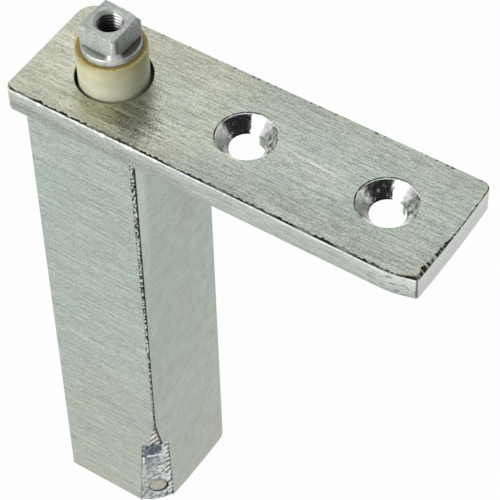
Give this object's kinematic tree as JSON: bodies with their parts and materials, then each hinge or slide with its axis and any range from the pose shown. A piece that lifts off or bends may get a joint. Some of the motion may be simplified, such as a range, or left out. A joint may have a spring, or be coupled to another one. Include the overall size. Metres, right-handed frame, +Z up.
{
  "type": "spring hinge",
  "caption": "Cartridge spring hinge: square steel barrel under a countersunk mounting plate, with a sprung square-headed spindle in a nylon bush that closes a cabinet door.",
  "frame": {"origin": "where the pivot axis meets the plane of the mounting plate's top face", "axes": "+Z up along the pivot axis towards the square head, +X along the plate towards its screw holes, +Y to the back"},
  "size_m": [0.1038, 0.0318, 0.1573],
  "materials": {
    "plated_steel": "zinc plated over brushed steel",
    "spindle_steel": "matt zinc plate over turned steel",
    "turned_steel": "turned",
    "spring_steel": "oiled wire",
    "nylon": "natural nylon, lightly stained"
  },
  "bodies": {
    "barrel": {"mounting_plate": "plated_steel", "housing": "plated_steel", "bushing": "nylon", "thrust_washer": "nylon", "torsion_spring": "spring_steel", "anchor_plug": "turned_steel", "thrust_cup": "nylon", "anchor_pin": "turned_steel"},
    "spindle": {"spindle": "spindle_steel"}
  },
  "joints": [
    {"name": "spindle_turn", "type": "hinge", "parent": "barrel", "child": "spindle", "pos_m": [0, 0, 0], "axis": [0, 0, 1], "range_deg": [0, 180], "stiffness_Nm_per_rad": 1.37, "deforming": ["torsion_spring"]}
  ]
}
